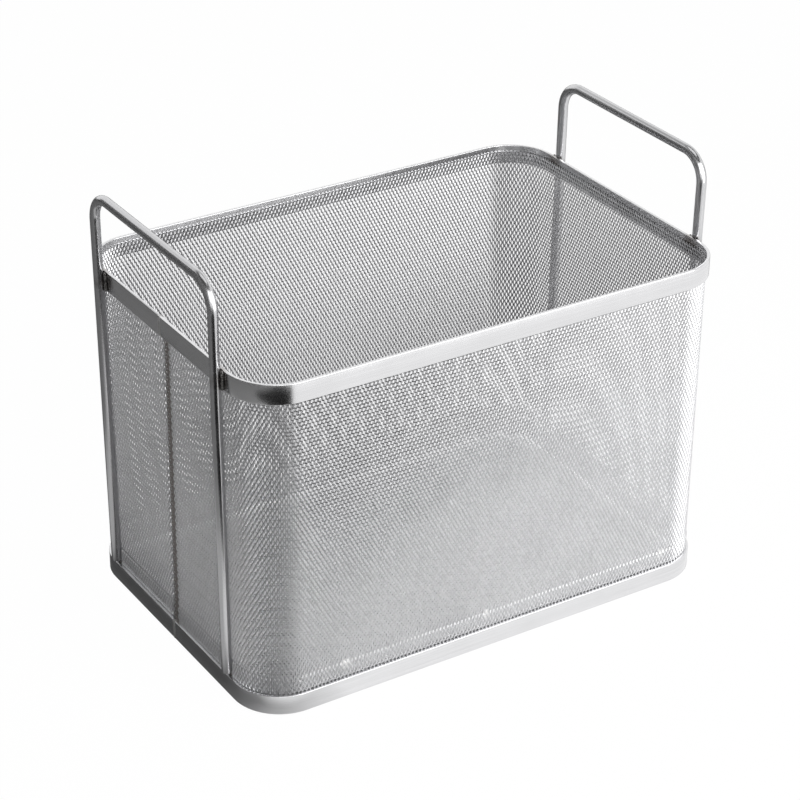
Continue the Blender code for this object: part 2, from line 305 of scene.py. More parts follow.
def reshape(item: Item, rule: Callable[[np.ndarray], np.ndarray]) -> None:
    """Move all the points of a mesh by one rule.

    Args:
        item: The mesh object.
        rule: Takes the points as rows of x, y, z and gives their new places.
    """
    flat = np.empty(len(item.data.vertices) * 3, dtype=np.float64)
    item.data.vertices.foreach_get("co", flat)
    moved = rule(flat.reshape(-1, 3))
    item.data.vertices.foreach_set("co", moved.astype(np.float32).ravel())
    item.data.update()


def hand_over(item: Item, node: str, slot: Slot) -> Item:
    """Give a finished piece its slot's finish and its body, and hide the CAD node that it stands for."""
    item.data.materials.clear()
    item.data.materials.append(MATERIALS[slot])
    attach(item, BODY)
    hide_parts(node)
    return item


def place_copy(model: Item, node: str, slot: Slot, place: Matrix) -> Item:
    """Copy a model for one CAD node, with its place in its mesh."""
    piece = copy_piece(model, node + "_dressed")
    piece.data.transform(place)
    return hand_over(piece, node, slot)


def smooth_rise(values: np.ndarray) -> np.ndarray:
    """Ease from 0 to 1 as the values go from 0 to 1."""
    held = np.clip(values, 0.0, 1.0)
    return held * held * (3.0 - 2.0 * held)


@dataclass(frozen=True)
class RoundedOutline:
    """A rounded rectangle seen from above, walked from the seam on the left end towards the front."""

    half_x: float
    half_y: float
    radius: float

    def perimeter(self) -> float:
        """Length once round."""
        straights = 4.0 * (self.half_x - self.radius) + 4.0 * (self.half_y - self.radius)
        return straights + 2.0 * math.pi * self.radius

    def at(self, lengths: np.ndarray) -> tuple[np.ndarray, np.ndarray]:
        """Find the points and the outward directions at lengths along the outline.

        Args:
            lengths: Lengths from the seam, which may run on past one turn.

        Returns:
            Two arrays of rows of x, y.
        """
        far_x = self.half_x - self.radius
        far_y = self.half_y - self.radius
        points = np.zeros((len(lengths), 2))
        outward = np.zeros((len(lengths), 2))
        gone = np.mod(lengths + far_y, self.perimeter())
        corners = ((-far_x, -far_y), (far_x, -far_y), (far_x, far_y), (-far_x, far_y))
        for side, corner in enumerate(corners):
            run = 2.0 * (far_x if side % 2 else far_y)
            facing = QUARTER * (side + 2)
            here = gone >= 0.0
            turn = facing + np.clip(gone[here] - run, 0.0, QUARTER * self.radius) / self.radius
            rays = np.stack((np.cos(turn), np.sin(turn)), axis=1)
            before_bend = np.minimum(gone[here] - run, 0.0)[:, None]
            heading = np.array((-math.sin(facing), math.cos(facing)))
            points[here] = np.array(corner) + self.radius * rays + before_bend * heading
            outward[here] = rays
            gone = gone - run - QUARTER * self.radius
        return points, outward


def model_flat_sheet(lattice: Lattice, run: float, low: float, high: float) -> Item:
    """Model a flat piece of expanded sheet as zigzag strands joined at their bonds.

    X runs across the holes from 0, Y along them, and Z is the side that the strands rise to.

    Args:
        lattice: The sheet's sizes.
        run: Width of the piece, into which a whole number of holes is fitted.
        low: Where the bottom edge is cut.
        high: Where the top edge is cut.

    Returns:
        The open sheet, still without gauge or material.
    """
    columns = round(run / lattice.short_way)
    short_way = run / columns
    pitch = short_way / 2.0
    climb = lattice.long_way / 2.0 - lattice.bond
    lean = pitch - lattice.reach
    half = lattice.strand / 2.0
    sheet = start_shape(bpy.ops.mesh.primitive_plane_add, size=lattice.strand)
    bpy.ops.transform.translate(value=(half, half, 0.0))
    bpy.ops.transform.resize(value=(1.0, lattice.bond / lattice.strand, 1.0), center_override=ORIGIN)
    bpy.ops.transform.rotate(value=lattice.tilt, orient_axis="Y", center_override=ORIGIN)
    leave_edit()
    rise = max(sheet.data.vertices, key=lambda point: point.co.x).co.z
    select_points(sheet, lambda place: place.y > half)
    extrude(lean, climb, -rise)
    extrude(0.0, lattice.bond, 0.0)
    extrude(-lean, climb, rise)
    select_all()
    bpy.ops.mesh.duplicate_move(TRANSFORM_OT_translate={"value": (pitch, lattice.long_way / 2.0, 0.0)})
    face_outward()
    bpy.ops.transform.translate(value=(0.0, low - lattice.long_way, 0.0))
    leave_edit()
    rows = math.ceil((high - low) / lattice.long_way) + SPARE_ROWS
    for name, count, step in (
        ("rows", rows, (0.0, lattice.long_way, 0.0)),
        ("columns", columns, (short_way, 0.0, 0.0)),
    ):
        repeat = sheet.modifiers.new(name, "ARRAY")
        repeat.count = count
        repeat.use_relative_offset = False
        repeat.use_constant_offset = True
        repeat.constant_offset_displace = step
    apply_modifiers(sheet)
    edit(sheet)
    select_all()
    bpy.ops.mesh.remove_doubles(threshold=SHEET_MERGE)
    bpy.ops.mesh.bisect(plane_co=(0.0, low, 0.0), plane_no=(0.0, 1.0, 0.0), clear_inner=True)
    cut_away((0.0, high, 0.0), (0.0, 1.0, 0.0))
    leave_edit()
    return sheet


def give_gauge(sheet: Item, gauge: float) -> None:
    """Thicken a sheet evenly to both sides."""
    thickness = sheet.modifiers.new("gauge", "SOLIDIFY")
    thickness.thickness = gauge
    thickness.offset = 0.0
    apply_modifiers(sheet)


def model_ring(name: str, half: Pair, radius: float, wall: float, bottom: float, height: float) -> Item:
    """Model an upright band bent to a rounded rectangle.

    Args:
        name: Name of the object.
        half: Half its outer length and half its outer width.
        radius: Outer radius of its corners.
        wall: Thickness of the band.
        bottom: Height of its lower edge.
        height: Height of the band.

    Returns:
        The closed band, still without a material.
    """
    start_shape(bpy.ops.mesh.primitive_plane_add, size=2.0)
    bpy.ops.transform.resize(value=(*half, 1.0))
    bpy.ops.mesh.bevel(offset=radius, segments=CORNER_STEPS, affect="VERTICES", profile=0.5)
    bpy.ops.mesh.select_mode(type="FACE")
    select_all()
    bpy.ops.mesh.inset(thickness=wall, use_even_offset=True)
    bpy.ops.mesh.delete(type="FACE")
    select_all()
    bpy.ops.transform.translate(value=(0.0, 0.0, bottom))
    extrude(0.0, 0.0, height)
    return close_edit(name)


class NodeSketch:
    """A short way to lay out a shader's node tree."""

    def __init__(self, tree: Tree) -> None:
        """Keep the tree that the nodes go to."""
        self.tree = tree

    def add(self, kind: str, inputs: Inputs | None = None, **values: object) -> Node:
        """Add a shader node of a kind, set its plain properties and feed its inputs."""
        node = self.tree.nodes.new("ShaderNode" + kind)
        for name, value in values.items():
            setattr(node, name, value)
        return self.feed(node, inputs or {})

    def feed(self, node: Node, inputs: Inputs) -> Node:
        """Join outputs to a node's inputs, or write plain values on them.

        Args:
            node: The node that is fed.
            inputs: An output, a number, a vector or a colour for each input, by name or place.

        Returns:
            The same node.
        """
        for key, value in inputs.items():
            if isinstance(value, Socket):
                self.tree.links.new(value, node.inputs[key])
            else:
                node.inputs[key].default_value = value
        return node

    def math(self, operation: str, *values: object) -> Socket:
        """Work out a number from outputs or numbers."""
        return self.add("Math", dict(enumerate(values)), operation=operation).outputs[0]

    def chain(self, operation: str, *values: object) -> Socket:
        """Take several outputs or numbers together by one operation."""
        return reduce(partial(self.math, operation), values)

    def vector(self, operation: str, *values: object) -> Node:
        """Work out a vector or a length from outputs or vectors."""
        return self.add("VectorMath", dict(enumerate(values)), operation=operation)

    def span(self, value: Socket, source: Pair, target: Pair) -> Socket:
        """Map a value from one range to another, held at both ends."""
        ends = dict(zip(("From Min", "From Max", "To Min", "To Max"), (*source, *target)))
        return self.add("MapRange", {"Value": value, **ends}, clamp=True).outputs["Result"]

    def place(self) -> Socket:
        """Where the shaded point is on its object."""
        return self.add("TexCoord").outputs["Object"]

    def axes(self, vector: Socket) -> bpy.types.bpy_prop_collection:
        """Split a vector into X, Y and Z."""
        return self.add("SeparateXYZ", {0: vector}).outputs

    def noise(self, vector: Socket, **settings: object) -> Socket:
        """Add a noise over a vector, with its settings by name."""
        return self.add("TexNoise", {"Vector": vector, **settings}).outputs[0]

    def blend(self, share: Socket, first: object, second: object) -> Socket:
        """Blend two colours, each an output or four numbers."""
        inputs = dict(zip(MIX_INPUTS, (share, first, second)))
        return self.add("Mix", inputs, data_type="RGBA").outputs[MIX_RESULT]

    def cover(self, share: Socket, under: Socket, over: Socket) -> Socket:
        """Cover a share of one shader with another."""
        return self.add("MixShader", {0: share, 1: under, 2: over}).outputs[0]

    def group(self, tree: Tree, **values: float) -> Socket:
        """Place a shared group with its own values, and give its only output."""
        return self.add("Group", values, node_tree=tree).outputs[0]


def new_group(name: str, output: str, *inputs: str) -> tuple[NodeSketch, Node, Node]:
    """Start a node group of numbers.

    Args:
        name: The group's name.
        output: Name of its only output.
        *inputs: Names of its inputs.

    Returns:
        The group's sketch, its entry and its exit.
    """
    tree = bpy.data.node_groups.new(name, "ShaderNodeTree")
    for label in inputs:
        tree.interface.new_socket(name=label, in_out="INPUT", socket_type="NodeSocketFloat")
    tree.interface.new_socket(name=output, in_out="OUTPUT", socket_type="NodeSocketFloat")
    return NodeSketch(tree), tree.nodes.new("NodeGroupInput"), tree.nodes.new("NodeGroupOutput")


@dataclass(frozen=True)
class EffectNumbers:
    """Numbers of the fine grain, of the patches, of the heat tint beside the welds, and of the painted
    shade on the lap.
    """

    grain_detail: float = 3.0
    patch_detail: float = 4.0
    patch_roughness: float = 0.6
    patch_range: Pair = (0.32, 0.68)
    heat_scale: float = 260.0
    heat_raggedness: float = 0.006
    heat_full_share: float = 0.4
    lap_half_width: float = 0.0034
    lap_fade: Pair = (0.75, 1.05)
    lap_end: Pair = (-0.200, -0.199)


class SharedEffects:
    """Node groups that the finishes use."""

    def __init__(self, sizes: BasketSizes) -> None:
        """Build the groups once."""
        self.sizes = sizes
        self.numbers = EffectNumbers()
        self.grain = self.build_grain()
        self.patches = self.build_patches()
        self.heat = self.build_heat()
        self.painted_lap_shade = self.build_painted_lap_shade()

    def build_grain(self) -> Tree:
        """Fine lines whose length and closeness are set by the stretch along each axis."""
        sketch, entry, end = new_group("grain", "lines", *GRAIN_AXES)
        stretch = sketch.add("CombineXYZ", dict(zip("XYZ", entry.outputs))).outputs[0]
        stretched = sketch.vector("MULTIPLY", sketch.place(), stretch).outputs[0]
        lines = sketch.noise(stretched, Scale=1.0, Detail=self.numbers.grain_detail)
        sketch.feed(end, {"lines": lines})
        return sketch.tree

    def build_patches(self) -> Tree:
        """Soft uneven patches of handling and cleaning."""
        sketch, entry, end = new_group("patches", "mask", "scale")
        detail, roughness = self.numbers.patch_detail, self.numbers.patch_roughness
        noise = sketch.noise(sketch.place(), Scale=entry.outputs[0], Detail=detail, Roughness=roughness)
        sketch.feed(end, {"mask": sketch.span(noise, self.numbers.patch_range, (0.0, 1.0))})
        return sketch.tree

    def build_heat(self) -> Tree:
        """A mask that is 1 at the rim welds beside the handle legs and fades away from them."""
        sketch, entry, end = new_group("weld_heat", "mask", "reach")
        sizes, numbers = self.sizes, self.numbers
        place = sketch.place()
        folded = sketch.vector("ABSOLUTE", place).outputs[0]
        centre = (sizes.half_length, sizes.leg_spacing / 2.0, sizes.height - sizes.strip_height / 2.0)
        apart = sketch.vector("DISTANCE", folded, centre).outputs["Value"]
        noise = sketch.noise(place, Scale=numbers.heat_scale)
        uneven = sketch.math("MULTIPLY_ADD", noise, numbers.heat_raggedness, -numbers.heat_raggedness / 2.0)
        share = sketch.math("DIVIDE", sketch.math("ADD", apart, uneven), entry.outputs[0])
        sketch.feed(end, {"mask": sketch.span(share, (numbers.heat_full_share, 1.0), (1.0, 0.0))})
        return sketch.tree

    def build_painted_lap_shade(self) -> Tree:
        """A mask that is 1 along the wall sheet's lap on the left end, where the double layer gets painted
        shade.
        """
        sketch, _, end = new_group("painted_lap_shade", "mask")
        numbers = self.numbers
        axes = sketch.axes(sketch.place())
        apart = sketch.math("ABSOLUTE", sketch.math("ADD", axes["Y"], self.sizes.wall_lap / 2.0))
        share = sketch.math("DIVIDE", apart, numbers.lap_half_width)
        across = sketch.span(share, numbers.lap_fade, (1.0, 0.0))
        on_left_end = sketch.span(axes["X"], numbers.lap_end, (1.0, 0.0))
        sketch.feed(end, {"mask": sketch.math("MULTIPLY", across, on_left_end)})
        return sketch.tree


@dataclass(frozen=True)
class MetalLook:
    """Numbers of one metal finish; the shares are those of the grain and of the patches."""

    name: str
    colour: Triple
    dark_colour: Triple
    roughness: Pair
    stretch: Triple
    grain_depth: float
    patch_scale: float
    heat_reach: float = 0.0
    heat_tint: float = 0.75
    # dark colour of the weld heat tint, also used for the painted shade on the lap
    heat_and_shade_colour: Triple = (0.16, 0.13, 0.11)
    # share of painted shade that darkens the lapped double layer
    lap_shade_share: float = 0.0
    grain_range: Pair = (0.3, 0.7)
    colour_shares: Pair = (0.7, 0.3)
    wear_shares: Pair = (0.5, 0.5)

    def build(self, effects: SharedEffects) -> Material:
        """Make the material.

        Args:
            effects: The shared node groups.

        Returns:
            A metal whose colour, roughness and fine relief vary over the surface.
        """
        material = bpy.data.materials.new(self.name)
        material.use_nodes = True
        sketch = NodeSketch(material.node_tree)
        grain = sketch.group(effects.grain, **dict(zip(GRAIN_AXES, self.stretch)))
        patches = sketch.group(effects.patches, scale=self.patch_scale)
        tone = self.mixed(sketch, grain, patches, self.colour_shares)
        colour = sketch.blend(tone, (*self.dark_colour, 1.0), (*self.colour, 1.0))
        if self.heat_reach > 0.0:
            heat = sketch.group(effects.heat, reach=self.heat_reach)
            colour = self.tinted(sketch, colour, heat, self.heat_tint)
        # painted shade: the lap, where the sheet lies double, is darkened in its colour
        if self.lap_shade_share > 0.0:
            colour = self.tinted(sketch, colour, sketch.group(effects.painted_lap_shade), self.lap_shade_share)
        worn = self.mixed(sketch, grain, patches, self.wear_shares)
        relief = {"Strength": 1.0, "Distance": self.grain_depth, "Height": grain}
        finish = {
            "Base Color": colour,
            "Metallic": 1.0,
            "Roughness": sketch.span(worn, (0.0, 1.0), self.roughness),
            "Normal": sketch.add("Bump", relief).outputs[0],
        }
        sketch.feed(material.node_tree.nodes["Principled BSDF"], finish)
        return material

    def mixed(self, sketch: NodeSketch, grain: Socket, patches: Socket, shares: Pair) -> Socket:
        """Add a share of the grain and a share of the patches."""
        lines = sketch.span(grain, self.grain_range, (0.0, shares[0]))
        return sketch.math("MULTIPLY_ADD", patches, shares[1], lines)

    def tinted(self, sketch: NodeSketch, colour: Socket, mask: Socket, share: float) -> Socket:
        """Blend a dark tint over a colour, by a share where the mask is 1: heat tint at the rim welds,
        painted shade on the lap.
        """
        return sketch.blend(sketch.math("MULTIPLY", mask, share), colour, (*self.heat_and_shade_colour, 1.0))


SATIN_STRIP = MetalLook(
    name="satin_steel_strip",
    colour=(0.88, 0.88, 0.89),
    dark_colour=(0.74, 0.74, 0.75),
    roughness=(0.16, 0.27),
    stretch=(9.0, 9.0, 2600.0),
    grain_depth=0.00002,
    patch_scale=22.0,
    heat_reach=0.013,
)
POLISHED_ROD = MetalLook(
    name="polished_rod",
    colour=(0.72, 0.72, 0.73),
    dark_colour=(0.59, 0.59, 0.60),
    roughness=(0.17, 0.28),
    stretch=(900.0, 900.0, 14.0),
    grain_depth=0.00001,
    patch_scale=30.0,
    heat_reach=0.010,
)
EXPANDED_SHEET = MetalLook(
    name="expanded_sheet",
    colour=(0.75, 0.75, 0.76),
    dark_colour=(0.57, 0.57, 0.58),
    roughness=(0.33, 0.47),
    stretch=(420.0, 420.0, 420.0),
    grain_depth=0.00002,
    patch_scale=26.0,
    # painted shade on the lap of the left end
    lap_shade_share=0.70,
)
GROUND_WELD = MetalLook(
    name="ground_weld",
    colour=(0.86, 0.86, 0.86),
    dark_colour=(0.62, 0.61, 0.60),
    roughness=(0.48, 0.66),
    stretch=(1500.0, 1500.0, 160.0),
    grain_depth=0.00004,
    patch_scale=240.0,
)
RAW_WELD = MetalLook(
    name="raw_weld",
    colour=(0.34, 0.33, 0.32),
    dark_colour=(0.03, 0.028, 0.027),
    roughness=(0.38, 0.62),
    stretch=(700.0, 700.0, 1400.0),
    grain_depth=0.00012,
    patch_scale=420.0,
)
SPOT_WELD = MetalLook(
    name="spot_weld",
    colour=(0.95, 0.95, 0.95),
    dark_colour=(0.62, 0.61, 0.60),
    roughness=(0.30, 0.46),
    stretch=(700.0, 700.0, 700.0),
    grain_depth=0.00008,
    patch_scale=300.0,
)
FINISHES = {
    Slot.MESH: EXPANDED_SHEET,
    Slot.STRIP: SATIN_STRIP,
    Slot.ROD: POLISHED_ROD,
    Slot.GROUND_WELD: GROUND_WELD,
    Slot.RAW_WELD: RAW_WELD,
    Slot.SPOT_WELD: SPOT_WELD,
}
MATERIALS: dict[Slot, Material] = {}


@dataclass(frozen=True)
class WallSheet:
    """The long expanded sheet that is wrapped round as the four walls and lapped on the left end."""

    sizes: BasketSizes
    lattice: Lattice
    inset: float = 0.0033
    step_run: float = 0.0060
    step_depth: float = 0.0014
    tray_push: float = 0.0006
    push_run: float = 0.0020
    names: tuple[str, ...] = (
        "wall_left_front",
        "wall_front_left",
        "wall_front_right",
        "wall_right",
        "wall_rear_right",
        "wall_rear_left",
        "wall_left_rear",
    )

    def outline(self) -> RoundedOutline:
        """Outline of the sheet's middle, seen from above."""
        sizes = self.sizes
        return RoundedOutline(
            sizes.half_length - self.inset, sizes.half_width - self.inset, sizes.corner_radius - self.inset
        )

    def wrap(self, points: np.ndarray, start: float) -> np.ndarray:
        """Wrap flat points round the basket.

        Args:
            points: Rows of the flat sheet's x, y, z.
            start: Length along the outline where the piece begins.

        Returns:
            The points on the wall, stepped in where the sheet laps behind its own start.
        """
        outline = self.outline()
        along = points[:, 0] + start
        turned = along - (outline.perimeter() - self.step_run)
        inward = self.step_depth * smooth_rise(turned / self.step_run) - self.pressed_out(points[:, 1])
        centre, outward = outline.at(along)
        placed = centre + outward * (points[:, 2] - inward)[:, None]
        return np.column_stack((placed, points[:, 1]))

    def pressed_out(self, heights: np.ndarray) -> np.ndarray:
        """Find how far the turned-up edge of the floor tray presses the wall out at each height."""
        above_strip = smooth_rise((heights - self.sizes.strip_height) / self.push_run)
        below_edge = smooth_rise((self.sizes.flange_top - heights) / self.push_run)
        return self.tray_push * above_strip * below_edge

    def build(self) -> list[Item]:
        """Model one flat piece, copy it along the outline and wrap each copy."""
        run = (self.outline().perimeter() + self.sizes.wall_lap) / len(self.names)
        flat = model_flat_sheet(self.lattice, run, self.sizes.wall_bottom, self.sizes.wall_top)
        give_gauge(flat, self.lattice.gauge)
        pieces = []
        for place, name in enumerate(self.names):
            piece = copy_piece(flat, name)
            reshape(piece, lambda points, start=place * run: self.wrap(points, start))
            pieces.append(hand_over(piece, "wall_mesh", Slot.MESH))
        bpy.data.objects.remove(flat)
        return pieces


@dataclass(frozen=True)
class FloorTray:
    """The flat expanded floor, whose edge is turned up inside the walls."""

    sizes: BasketSizes
    lattice: Lattice
    inset: float = 0.0049
    height: float = 0.0030
    bend: float = 0.0032
    corner_cuts: int = 6
    selvage_height: float = 0.0018
    selvage_wall: float = 0.0009
    selvage_rounding: float = 0.0003
    rounding_steps: int = 2
    names: tuple[str, ...] = ("floor_front", "floor_middle", "floor_rear")

    @property
    def far(self) -> np.ndarray:
        """X and Y of the corners' centres."""
        return np.array((self.sizes.half_length, self.sizes.half_width)) - self.sizes.corner_radius

    @property
    def radius(self) -> float:
        """Corner radius of the turned-up edge's middle."""
        return self.sizes.corner_radius - self.inset

    @property
    def blank_margin(self) -> float:
        """How far the flat blank reaches past the turned-up edge's outline."""
        return self.sizes.flange_top - self.height - self.bend * (2.0 - QUARTER)

    def turn_up(self, points: np.ndarray) -> np.ndarray:
        """Bend the flat blank's edge upright.

        Args:
            points: Rows of x, y, z of the flat blank, with its middle at the origin.

        Returns:
            The points of the tray, in place.
        """
        corner = np.clip(points[:, :2], -self.far, self.far)
        away = points[:, :2] - corner
        distance = np.linalg.norm(away, axis=1)
        ray = away / np.maximum(distance, NEARLY_ZERO)[:, None]
        past = distance - self.radius + self.bend
        turn = np.clip(past / self.bend, 0.0, QUARTER)
        upright = np.maximum(past - self.bend * QUARTER, 0.0)
        bent = self.radius - self.bend + self.bend * np.sin(turn)
        reach = np.where(past > 0.0, bent, distance) - points[:, 2] * np.sin(turn)
        rise = self.bend * (1.0 - np.cos(turn)) + upright + points[:, 2] * np.cos(turn)
        return np.column_stack((corner + ray * reach[:, None], self.height + rise))

    def cut_corners(self, blank: Item) -> None:
        """Round the blank's four corners with straight cuts."""
        edit(blank)
        reach = self.radius + self.blank_margin
        for side_x, side_y in product((-1.0, 1.0), repeat=2):
            centre = Vector((side_x * self.far[0], side_y * self.far[1], 0.0))
            for cut in range(1, self.corner_cuts):
                angle = QUARTER * cut / self.corner_cuts
                outward = Vector((side_x * math.cos(angle), side_y * math.sin(angle), 0.0))
                cut_away(centre + outward * reach, outward)
        leave_edit()

    def build(self) -> list[Item]:
        """Model one flat piece, copy it across the basket, cut the corners and turn the edges up."""
        half_x, half_y = self.far + self.radius + self.blank_margin
        run = 2.0 * half_y / len(self.names)
        flat = model_flat_sheet(self.lattice, run, -half_x, half_x)
        flat.data.transform(Matrix.Rotation(-QUARTER, 4, "Z"))
        low = min(point.co.y for point in flat.data.vertices)
        pieces = []
        for place, name in enumerate(self.names):
            piece = copy_piece(flat, name)
            piece.data.transform(Matrix.Translation((0.0, place * run - half_y - low, 0.0)))
            self.cut_corners(piece)
            give_gauge(piece, self.lattice.gauge)
            reshape(piece, self.turn_up)
            pieces.append(hand_over(piece, "floor_mesh", Slot.MESH))
        bpy.data.objects.remove(flat)
        pieces.append(self.build_selvage())
        return pieces

    def build_selvage(self) -> Item:
        """Run the sheet's plain uncut edge round the top of the turned-up edge."""
        radius = self.radius + self.selvage_wall / 2.0
        bottom = self.sizes.flange_top - self.selvage_height
        selvage = model_ring(
            "floor_selvage", self.far + radius, radius, self.selvage_wall, bottom, self.selvage_height
        )
        round_edges(selvage, self.selvage_rounding, self.rounding_steps)
        return hand_over(selvage, "floor_mesh", Slot.MESH)


@dataclass(frozen=True)
class GroundSeam:
    """The butt weld that closes a strip on the left end, ground nearly flush."""

    sizes: BasketSizes
    node: str
    bottom: float
    middle_y: float
    width: float = 0.0030
    gap_play: float = 0.00002
    cuts: int = 9
    crown: float = 0.00012
    ripple: float = 0.3
    ripple_wave: float = 2300.0
    rounding: float = 0.0003
    rounding_steps: int = 2
    face_play: float = 0.000001
    cutter_reach: Pair = (3.0, 2.0)

    def plate(self, width: float, thickness: float, height: float) -> Item:
        """Stand a plate across the strip at the seam, shaped from a cube."""
        start_shape(bpy.ops.mesh.primitive_cube_add, size=1.0)
        bpy.ops.transform.resize(value=(thickness, width, height))
        inside = self.sizes.strip_thickness / 2.0 - self.sizes.half_length
        middle_z = self.bottom + self.sizes.strip_height / 2.0
        bpy.ops.transform.translate(value=(inside, self.middle_y, middle_z))
        return close_edit(self.node + "_dressed")

    def cut_gap(self, band: Item) -> None:
        """Open the strip where the weld sits."""
        inward, upward = self.cutter_reach
        depth, height = inward * self.sizes.strip_thickness, upward * self.sizes.strip_height
        cutter = self.plate(self.width + 2.0 * self.gap_play, depth, height)
        gap = band.modifiers.new("gap", "BOOLEAN")
        gap.operation = "DIFFERENCE"
        gap.object = cutter
        apply_modifiers(band)
        bpy.data.objects.remove(cutter)

    def build(self) -> Item:
        """Fill the gap with the weld, a hair proud of the strip's outer face."""
        seam = self.plate(self.width, self.sizes.strip_thickness, self.sizes.strip_height)
        edit(seam)
        select_all()
        bpy.ops.mesh.subdivide(number_cuts=self.cuts)
        leave_edit()
        reshape(seam, self.crowned)
        round_edges(seam, self.rounding, self.rounding_steps)
        return hand_over(seam, self.node, Slot.GROUND_WELD)

    def crowned(self, points: np.ndarray) -> np.ndarray:
        """Swell the outer face across the seam and leave it slightly uneven along it."""
        outer = points[:, 0] < self.face_play - self.sizes.half_length
        across = (points[:, 1] - self.middle_y) / (self.width / 2.0)
        uneven = 1.0 - self.ripple + self.ripple * np.sin(points[:, 2] * self.ripple_wave)
        swell = self.crown * np.clip(1.0 - across * across, 0.0, 1.0) * uneven
        moved = points.copy()
        moved[:, 0] -= np.where(outer, swell, 0.0)
        return moved


@dataclass(frozen=True)
class StripBand:
    """A satin strip bent round the basket, one at the rim and one at the base."""

    sizes: BasketSizes
    node: str
    seam: GroundSeam
    rounding: float = 0.0004
    rounding_steps: int = 3

    def build(self) -> Item:
        """Model the strip from a plate with rounded corners, hollowed and raised to its height."""
        sizes = self.sizes
        half = (sizes.half_length, sizes.half_width)
        name = self.node + "_dressed"
        thickness, height = sizes.strip_thickness, sizes.strip_height
        band = model_ring(name, half, sizes.corner_radius, thickness, self.seam.bottom, height)
        self.seam.cut_gap(band)
        round_edges(band, self.rounding, self.rounding_steps)
        return hand_over(band, self.node, Slot.STRIP)


@dataclass(frozen=True)
class Handle:
    """A round rod bent into a hoop, with its feet on the base strip."""

    sizes: BasketSizes
    side: Side
    roundness: int = 32
    bend_steps: int = 18

    def bend(self, middle_y: float, middle_z: float) -> None:
        """Bend the rod's open end by a quarter turn about a point."""
        bpy.ops.mesh.spin(
            steps=self.bend_steps, angle=QUARTER, center=(0.0, middle_y, middle_z), axis=(1.0, 0.0, 0.0)
        )

    def build(self) -> Item:
        """Draw the rod up the front leg, over the bar and down the rear leg, then lean it outward."""
        sizes = self.sizes
        half = sizes.leg_spacing / 2.0
        bend_from = sizes.bar_height - sizes.bend_radius
        climb = bend_from - sizes.foot_height
        start_disc(self.roundness, sizes.rod_diameter / 2.0, "NOTHING")
        bpy.ops.transform.translate(value=(0.0, -half, sizes.foot_height))
        extrude(0.0, 0.0, climb)
        self.bend(-half + sizes.bend_radius, bend_from)
        extrude(0.0, sizes.leg_spacing - 2.0 * sizes.bend_radius, 0.0)
        self.bend(half - sizes.bend_radius, bend_from)
        extrude(0.0, 0.0, -climb)
        select_all()
        bpy.ops.mesh.remove_doubles(threshold=ROD_MERGE)
        bpy.ops.mesh.fill_holes(sides=0)
        select_all()
        lean = math.atan2(sizes.leg_x_at_rim - sizes.leg_x_at_foot, sizes.height - sizes.foot_height)
        bpy.ops.transform.rotate(
            value=-lean * self.side.value, orient_axis="Y", center_override=(0.0, 0.0, sizes.foot_height)
        )
        bpy.ops.transform.translate(value=(self.side.value * sizes.leg_x_at_foot, 0.0, 0.0))
        node = f"{self.side.word}_handle"
        rod = close_edit(node + "_dressed")
        shade(rod, CREASE_ANGLE)
        return hand_over(rod, node, Slot.ROD)


@dataclass(frozen=True)
class RimBeads:
    """The eight raw beads that hold the handle legs to the rim strip, one on each side of each leg."""

    sizes: BasketSizes
    radius: float = 0.0012
    roundness: int = 20
    rings: int = 44
    end_share: float = 0.94
    end_sharpness: int = 14
    ripple_pitch: float = 0.0019
    ripple_depth: float = 0.20
    ripple_slant: float = 0.25
    spatter: float = 0.13
    spatter_waves: tuple[Triple, ...] = ((3.0, 820.0, 0.0), (5.0, -1370.0, 1.3))
    across: float = 0.0045
    beside_face: float = 0.0012
    turn_each: float = 0.9

    def model_bead(self) -> Item:
        """Raise a round bead ring by ring from a disc and lay ripples on it."""
        start_disc(self.roundness, self.radius)
        for _ in range(self.rings):
            extrude(0.0, 0.0, self.sizes.strip_height / self.rings)
        bead = close_edit("rim_bead")
        reshape(bead, self.rippled)
        shade(bead, BEAD_CREASE_ANGLE)
        return bead

    def rippled(self, points: np.ndarray) -> np.ndarray:
        """Swell and pinch the bead along its length and round off its ends."""
        height = points[:, 2]
        angle = np.arctan2(points[:, 1], points[:, 0])
        share = 2.0 * height / self.sizes.strip_height - 1.0
        ends = np.sqrt(np.clip(1.0 - self.end_share * share**self.end_sharpness, 0.0, 1.0))
        slanted = height + self.ripple_slant * points[:, 0]
        ripple = np.abs(np.sin(math.pi * slanted / self.ripple_pitch))
        waves = (turns * angle + height * wave + shift for turns, wave, shift in self.spatter_waves)
        uneven = sum(np.sin(wave) for wave in waves)
        factor = ends * (1.0 - self.ripple_depth * (1.0 - ripple) + self.spatter * uneven)
        moved = points.copy()
        moved[:, :2] *= factor[:, None]
        return moved

    def build(self) -> list[Item]:
        """Copy the bead to both sides of the four legs, each turned its own way."""
        model = self.model_bead()
        pieces = []
        for side, leg, leg_y in self.sizes.legs():
            for flank, sign in FRONT_AND_REAR:
                x = side.value * (self.sizes.half_length + self.beside_face)
                spot = Matrix.Translation((x, leg_y + sign * self.across, self.sizes.rim_bottom))
                place = spot @ Matrix.Rotation(self.turn_each * len(pieces), 4, "Z")
                pieces.append(place_copy(model, f"{leg}_rim_weld_{flank}", Slot.RAW_WELD, place))
        bpy.data.objects.remove(model)
        return pieces


